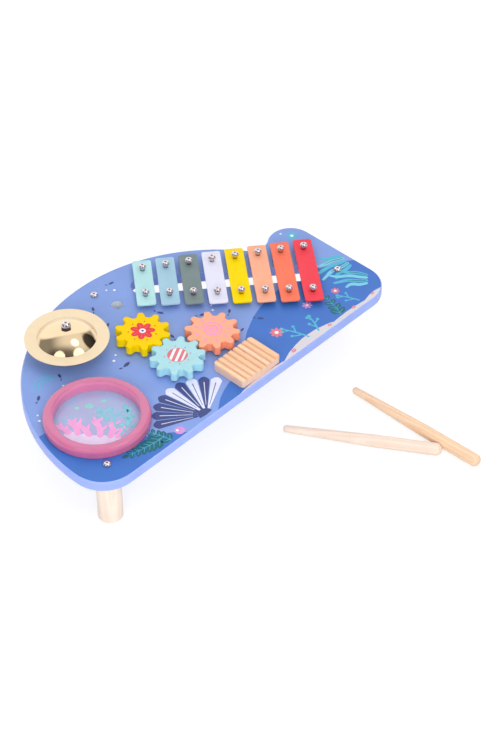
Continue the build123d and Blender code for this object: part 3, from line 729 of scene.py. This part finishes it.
def board_print():
    """A shell, ferns, twigs, kelp, blossoms and bubbles on the board's top."""
    drawing = Print("board_print", "table", BOARD_TOP, "blue_lacquer")
    navy = ink("navy_ink", NAVY)
    lilac = ink("lilac_ink", PALE_LILAC)
    aqua = ink("aqua_ink", AQUA)
    pale_aqua = ink("pale_aqua_ink", PALE_AQUA)
    teal = ink("teal_ink", DARK_TEAL)
    rose = ink("rose_ink", ROSE)
    orchid = ink("orchid_ink", ORCHID)
    white = ink("white_ink", WHITE_INK)

    fan_shell(drawing, (-49.0, 4.6), 50.0, 26.0, 158.0, navy, lilac)
    drawing.add(ellipse((-83.0, 8.3), 5.2), orchid)
    drawing.add(ellipse((-84.6, 9.9), 1.4), white, 2)

    fern(drawing, (-103.0, 13.0), 176, 38, 6, teal, aqua, -12)
    fern(drawing, (-98.0, 4.0), 100, 30, 5, teal, aqua, 18)
    fern(drawing, (152.0, 7.0), 66, 34, 4, teal, aqua, 18)
    kelp(drawing, (220.0, 62.0), 166, (26, 38, 44, 36, 24), (aqua, pale_aqua), teal)
    kelp(drawing, (213.0, 26.0), 132, (22, 34, 38, 30), (pale_aqua, aqua), teal)
    kelp(drawing, (-60.0, 196.0), 232, (14, 20, 16), (aqua, pale_aqua), teal, gap=3.6)
    berry_twig(drawing, (104.0, 9.0), 104, 30, aqua)
    berry_twig(drawing, (118.0, 8.0), 60, 24, aqua)
    berry_twig(drawing, (182.0, 9.0), 108, 24, aqua, width=1.9)
    rosette(drawing, (86.0, 37.0), 7.2, 8, rose, white)
    rosette(drawing, (139.0, 43.0), 5.4, 7, orchid, white)
    rosette(drawing, (176.0, 37.0), 4.8, 7, rose, white)
    rosette(drawing, (212.0, 132.0), 6.2, 8, aqua, white)
    pebbles = ((78, 5.6, 3.0, 8), (132, 5.4, 2.4, -12), (170, 6.0, 2.6, 5), (200, 6.4, 2.2, 20))
    for x, y, size, turn in pebbles:
        drawing.add(ellipse((x, y), size, size * 0.66, turn), rose)
        drawing.draw([(x - size * 0.5, y), (x + size * 0.5, y)], (0.4, 0.3), white, 2)

    drops = (
        (-30, 169, 9, 24), (24, 149, 8, -64), (-20, 197, 7, 60), (50, 113, 8, -20), (74, 93, 7, 40),
        (8, 107, 7, 80), (-58, 113, 10, 8), (-112, 147, 7, 70), (88, 67, 8, -48), (62, 65, 6, 12),
        (-150, 139, 8, 40), (20, 217, 7, -8),
    )
    for x, y, length, angle in drops:
        drawing.add(leaf((x, y), length, length * 0.42, angle), navy)
        tail = from_point((x, y), -1.0, angle)
        drawing.add(leaf(tail, length * 0.45, length * 0.2, angle + 150), navy)
    bubbles = (
        (-38, 183, 1.5), (-31, 189, 1.1), (-58, 127, 1.5), (-51, 132, 1.2), (18, 206, 1.4),
        (12, 212, 1.0), (66, 109, 1.3), (70, 115, 0.9), (-168, 117, 1.4), (-164, 124, 1.0),
        (-118, 137, 1.2), (206, 143, 1.2),
    )
    for x, y, radius in bubbles:
        drawing.add(ellipse((x, y), radius, steps=16), white)
    for reach in (7.0, 11.0, 15.0):
        arch = [from_point((-128.0, 147.0), reach, angle) for angle in range(30, 171, 20)]
        drawing.draw(arch, (1.3, 0.8), aqua)
    drawing.place()


def gear_prints():
    """A blossom, a striped ball and a curl, one on each gear."""
    scarlet, white = ink("scarlet_ink", SCARLET), ink("gear_white_ink", WHITE_INK)
    pink, coral = ink("bubble_pink_ink", BUBBLE_PINK), ink("coral_ink", CORAL_PINK)
    dark = ink("dark_ink", paint(52, 50, 70))
    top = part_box("yellow_gear")[1].z

    drawing = Print("yellow_gear_print", "yellow_wheel", top, "gear_yellow")
    centre = plan_place("yellow_gear_axle")
    for petal in range(7):
        angle = 360 * petal / 7 + 12
        drawing.add(ellipse(from_point(centre, 8.0, angle), 5.0, 3.5, angle), scarlet)
        drawing.add(ellipse(from_point(centre, 14.6, angle + 180 / 7), 0.9, steps=14), scarlet)
        vein = [from_point(centre, 5.6, angle), from_point(centre, 10.4, angle)]
        drawing.draw(vein, (0.5, 0.4), coral, 3)
    drawing.add(ellipse(centre, 5.2), scarlet, 2)
    drawing.add(ellipse(centre, 3.4), white, 3)
    drawing.add(ellipse(centre, 1.3, steps=18), dark, 4)
    drawing.place()

    drawing = Print("mint_gear_print", "mint_wheel", top, "gear_mint")
    centre = plan_place("mint_gear_axle")
    drawing.add(ellipse(centre, 10.4, steps=48), coral)
    for low, high in ((-7.8, -5.6), (-2.6, 0.2), (3.6, 6.4)):
        drawing.add(band_of_disc(centre, 9.7, low, high, 28), white, 2)
    for angle in range(0, 360, 45):
        drawing.add(ellipse(from_point(centre, 13.4, angle + 10), 0.8, steps=14), coral)
    drawing.place()

    drawing = Print("peach_gear_print", "peach_wheel", top, "gear_peach")
    centre = plan_place("peach_gear_axle")
    curl = [from_point(centre, 1.4 + 10.4 * step / 26, 30 + step * 31) for step in range(27)]
    drawing.draw(curl, (2.6, 1.4), pink)
    for number in range(9):
        angle = 40 * number
        drawing.add(leaf(from_point(centre, 14.2, angle), 5.2, 2.2, angle), pink)
    drawing.place()


FILM_ACROSS = -46.4     # the direction of the drum print's baseline
PRINT_REACH = 40.5      # the farthest that the drum's mounds go from the film's centre


def film_print():
    """Pink fronds, aqua twigs and mint drops on the drum film."""
    drawing = Print("drum_film_print", "table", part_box("drum_film")[1].z, "film")
    pink = ink("film_pink_ink", paint(240, 164, 216))
    lilac = ink("film_lilac_ink", paint(226, 208, 238))
    aqua = ink("film_aqua_ink", paint(128, 200, 214))
    mint = ink("film_mint_ink", paint(146, 208, 206))
    centre = plan_place("drum_film")

    def local(right, up):
        return from_point(from_point(centre, right, FILM_ACROSS), up, FILM_ACROSS + 90)

    for right, up, radius in ((-24, -22, 8), (-12, -27, 11), (3, -29, 12), (16, -27, 9)):
        mound = []
        for step in range(24):
            turn = math.tau * step / 24
            height = radius * (0.75 + 0.06 * (-1) ** step)      # every second point is lower
            mound.append(local(right + radius * math.cos(turn), up + height * math.sin(turn)))
        drawing.add([point for point in mound if math.dist(point, centre) < PRINT_REACH], lilac)
    fronds = (
        (-27, -17, 128, 16), (-18, -18, 104, 21), (-7, -20, 118, 24), (4, -21, 92, 26),
        (14, -22, 74, 22), (21, -22, 52, 14),
    )
    for right, up, angle, length in fronds:
        stem = bend(local(right, up), length, FILM_ACROSS + angle, 30)
        drawing.draw(stem, (6.4, 5.4, 2.4), pink, 2)
        for number, side in ((1, -1), (2, 1), (3, -1)):
            lobe = bend(stem[number], length * 0.36, FILM_ACROSS + angle + side * 58, -side * 30)
            drawing.draw(lobe, (4.2, 3.6, 1.8), pink, 2)
    twigs = (
        (24, -20, 60, 24), (18, -9, 96, 26), (29, -6, 78, 20), (9, 0, 112, 17), (31, 6, 100, 14),
    )
    for right, up, angle, length in twigs:
        berry_twig(drawing, local(right, up), FILM_ACROSS + angle, length, aqua, 3, 2.5)
    for right, up, size in ((-9, 20, 4.6), (5, 27, 3.0), (-21, 17, 2.4), (-2, 12, 1.7)):
        drawing.add(ellipse(local(right, up), size, size * 0.8, FILM_ACROSS), mint)
    drawing.place()


# ---- studio ----------------------------------------------------------------------
CAMERA_OFFSET = Vector((-1.059, -1.009, 1.364))
CAMERA_TARGET = plan(21.0, 12.9)
CAMERA_ROLL = math.radians(-0.15)
LENS = 96.0             # millimetres, as is the sensor's width
SENSOR = 36.0


def add_camera():
    """The camera looks down on the board from the front left."""
    data = bpy.data.cameras.new("camera")
    data.lens, data.sensor_width = LENS, SENSOR
    data.clip_start, data.clip_end = 0.05, 50.0
    camera = bpy.data.objects.new("camera", data)
    camera.location = CAMERA_TARGET + CAMERA_OFFSET
    camera.rotation_euler = (-CAMERA_OFFSET).to_track_quat("-Z", "Y").to_euler()
    camera.rotation_euler.rotate_axis("Z", CAMERA_ROLL)
    bpy.context.scene.collection.objects.link(camera)
    bpy.context.scene.camera = camera


def add_softbox(name, offset, size, brightness, mirrored):
    """A round lamp at an offset from the board, turned towards it.

    The brightness is the radiance of its face: its power over pi and over its area."""
    data = bpy.data.lights.new(name, "AREA")
    data.shape, data.size = "DISK", size
    data.energy = brightness * math.pi * math.pi * size**2 / 4
    lamp = bpy.data.objects.new(name, data)
    lamp.location = CAMERA_TARGET + Vector(offset)
    lamp.rotation_euler = (-Vector(offset)).to_track_quat("-Z", "Y").to_euler()
    lamp.visible_camera = False
    lamp.visible_glossy = mirrored
    bpy.context.scene.collection.objects.link(lamp)


WALL = (0.493, 0.725, 0.481)        # towards the middle of the bright far wall
HOT_SPOT = (0.22, -0.20, 0.955)     # the brightest part of the ceiling
SHADE = (0.806, -0.328, 0.493)      # a dark corner of the room
FRONT = (-0.724, -0.690, 0.0)       # the dim side, behind the camera


def add_world():
    """A white room: a bright far wall, a dimmer ceiling, a dark corner and a dim front."""
    world = bpy.data.worlds.new("studio")
    world.use_nodes = True
    bpy.context.scene.world = world
    tree = world.node_tree
    background = tree.nodes["Background"]
    background.inputs["Color"].default_value = (1.0, 1.0, 1.0, 1.0)
    direction = tree.nodes.new("ShaderNodeTexCoord").outputs["Generated"]

    def calc(operation, first, second):
        node = tree.nodes.new("ShaderNodeMath")
        node.operation = operation
        for socket, value in zip(node.inputs, (first, second)):
            if isinstance(value, bpy.types.NodeSocket):
                tree.links.new(value, socket)
            else:
                socket.default_value = value
        return node.outputs[0]

    def towards(axis, start, end, low, high):
        """From low to high as the direction closes in on the axis.

        Start and end are cosines of the angle between the two."""
        dot = tree.nodes.new("ShaderNodeVectorMath")
        dot.operation = "DOT_PRODUCT"
        tree.links.new(direction, dot.inputs[0])
        dot.inputs[1].default_value = axis
        node = tree.nodes.new("ShaderNodeMapRange")
        node.interpolation_type = "SMOOTHSTEP"
        tree.links.new(dot.outputs["Value"], node.inputs["Value"])
        limits = {"From Min": start, "From Max": end, "To Min": low, "To Max": high}
        for socket, value in limits.items():
            node.inputs[socket].default_value = value
        return node.outputs["Result"]

    wall = towards(WALL, 0.67, 0.75, 0.0, 1.3)
    low_band = towards((0.0, 0.0, -1.0), -0.30, -0.15, 0.0, 1.15)
    ceiling = towards(HOT_SPOT, 0.45, 0.98, 0.32, 1.05)
    room = calc("MAXIMUM", low_band, ceiling)
    room = calc("MULTIPLY", room, towards(FRONT, 0.10, 0.55, 1.0, 0.22))
    room = calc("MULTIPLY", room, towards(SHADE, 0.925, 0.955, 1.0, 0.08))
    tree.links.new(calc("MAXIMUM", wall, room), background.inputs["Strength"])


FLOOR_WHITE = (0.8, 0.8, 0.8, 1.0)      # what the floor gives back to the object
FLOOR_SEEN = (0.3, 0.3, 0.3, 1.0)       # the part of the seen floor that keeps shadows
FLOOR_LIFT = 0.77


def add_floor():
    """A white floor that keeps soft shadows."""
    data = bpy.data.meshes.new("floor")
    mesh = bmesh.new()
    bmesh.ops.create_grid(mesh, x_segments=8, y_segments=8, size=6.0)
    mesh.to_mesh(data)
    mesh.free()
    floor = bpy.data.objects.new("floor", data)
    bpy.context.scene.collection.objects.link(floor)
    material = bpy.data.materials.new("floor_white")
    material.use_nodes = True
    tree = material.node_tree
    shader = tree.nodes["Principled BSDF"]
    shader.inputs["Roughness"].default_value = 0.9
    shader.inputs["Specular IOR Level"].default_value = 0.0
    rays = tree.nodes.new("ShaderNodeLightPath")
    seen = rays.outputs["Is Camera Ray"]
    for kind in ("Is Glossy Ray", "Is Transmission Ray"):
        either = tree.nodes.new("ShaderNodeMath")
        either.operation = "MAXIMUM"
        tree.links.new(seen, either.inputs[0])
        tree.links.new(rays.outputs[kind], either.inputs[1])
        seen = either.outputs[0]
    lift = tree.nodes.new("ShaderNodeMath")
    lift.operation = "MULTIPLY"
    lift.inputs[1].default_value = FLOOR_LIFT
    tree.links.new(seen, lift.inputs[0])
    tone = tree.nodes.new("ShaderNodeMix")
    tone.data_type = "RGBA"
    tone.inputs[6].default_value = FLOOR_WHITE
    tone.inputs[7].default_value = FLOOR_SEEN
    tree.links.new(seen, tone.inputs[0])
    tree.links.new(tone.outputs[2], shader.inputs["Base Color"])
    shader.inputs["Emission Color"].default_value = (1.0, 1.0, 1.0, 1.0)
    tree.links.new(lift.outputs[0], shader.inputs["Emission Strength"])
    data.materials.append(material)


# Name, offset in metres, size, brightness, and whether polished metal mirrors the lamp
LAMPS = (
    ("front_left", (-1.568, -0.291, 1.33), 1.15, 1.6, True),
    ("front_right", (-0.009, -1.359, 1.343), 1.15, 1.6, True),
    ("overhead", (0.453, -0.568, 2.462), 0.95, 1.4, True),
    ("fill", (-1.55, -1.48, 1.1), 1.8, 4.1, False),
)


def add_studio():
    """The camera, the room, the floor and the lamps."""
    bpy.context.scene.view_settings.view_transform = "Standard"
    add_camera()
    add_world()
    add_floor()
    for lamp in LAMPS:
        add_softbox(*lamp)


dress_solids()
board_print()
gear_prints()
film_print()
add_studio()
